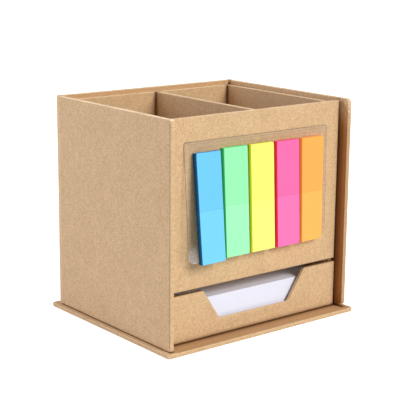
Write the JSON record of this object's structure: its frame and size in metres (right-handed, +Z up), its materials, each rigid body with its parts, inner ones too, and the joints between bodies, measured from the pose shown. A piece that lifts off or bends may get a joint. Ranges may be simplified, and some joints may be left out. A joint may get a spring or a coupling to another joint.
{
  "type": "memo holder",
  "caption": "Kraft-board desk memo holder: open pen compartments over a note drawer with a thumb cut-out, page flags on the front and a hinged side flap.",
  "frame": {"origin": "centre of the underside of the base", "axes": "+Z up, -Y is the front with the drawer, +X towards the flap"},
  "size_m": [0.1014, 0.0856, 0.094],
  "materials": {
    "kraft_cover": "matt kraft paper over greyboard",
    "kraft_box": "matt kraft paper over greyboard",
    "kraft_lining": "matt kraft paper",
    "note_paper": "matt white paper",
    "film_tape": "double-sided tape",
    "clear_film": "clear glossy film",
    "flag_blue": "fluorescent film flags",
    "flag_green": "fluorescent film flags",
    "flag_yellow": "fluorescent film flags",
    "flag_pink": "fluorescent film flags",
    "flag_orange": "fluorescent film flags"
  },
  "bodies": {
    "holder": {"base_board": "kraft_cover", "base_lining": "kraft_lining", "left_cover_board": "kraft_cover", "back_cover_board": "kraft_cover", "left_corner_paper": "kraft_cover", "flap_hinge_paper": "kraft_cover", "box_left_wall": "kraft_box", "box_right_wall": "kraft_box", "box_back_wall": "kraft_box", "box_front_wall": "kraft_box", "pen_floor": "kraft_box", "divider": "kraft_box", "film_tape": "film_tape", "flag_film": "clear_film", "flag_pad_blue": "flag_blue", "flag_pad_green": "flag_green", "flag_pad_yellow": "flag_yellow", "flag_pad_pink": "flag_pink", "flag_pad_orange": "flag_orange"},
    "drawer": {"drawer_front": "kraft_box", "drawer_bottom": "kraft_box", "drawer_left_side": "kraft_box", "drawer_right_side": "kraft_box", "drawer_back": "kraft_box", "note_stack": "note_paper"},
    "flap": {"flap_board": "kraft_cover", "flap_lining": "kraft_lining"}
  },
  "joints": [
    {"name": "drawer_slide", "type": "slide", "parent": "holder", "child": "drawer", "axis": [0, -1, 0], "range_m": [0, 0.06]},
    {"name": "flap_hinge", "type": "hinge", "parent": "holder", "child": "flap", "pos_m": [0.04802, 0.04042, 0.048], "axis": [0, 0, 1], "range_deg": [0, 180], "deforming": ["flap_hinge_paper"]}
  ]
}
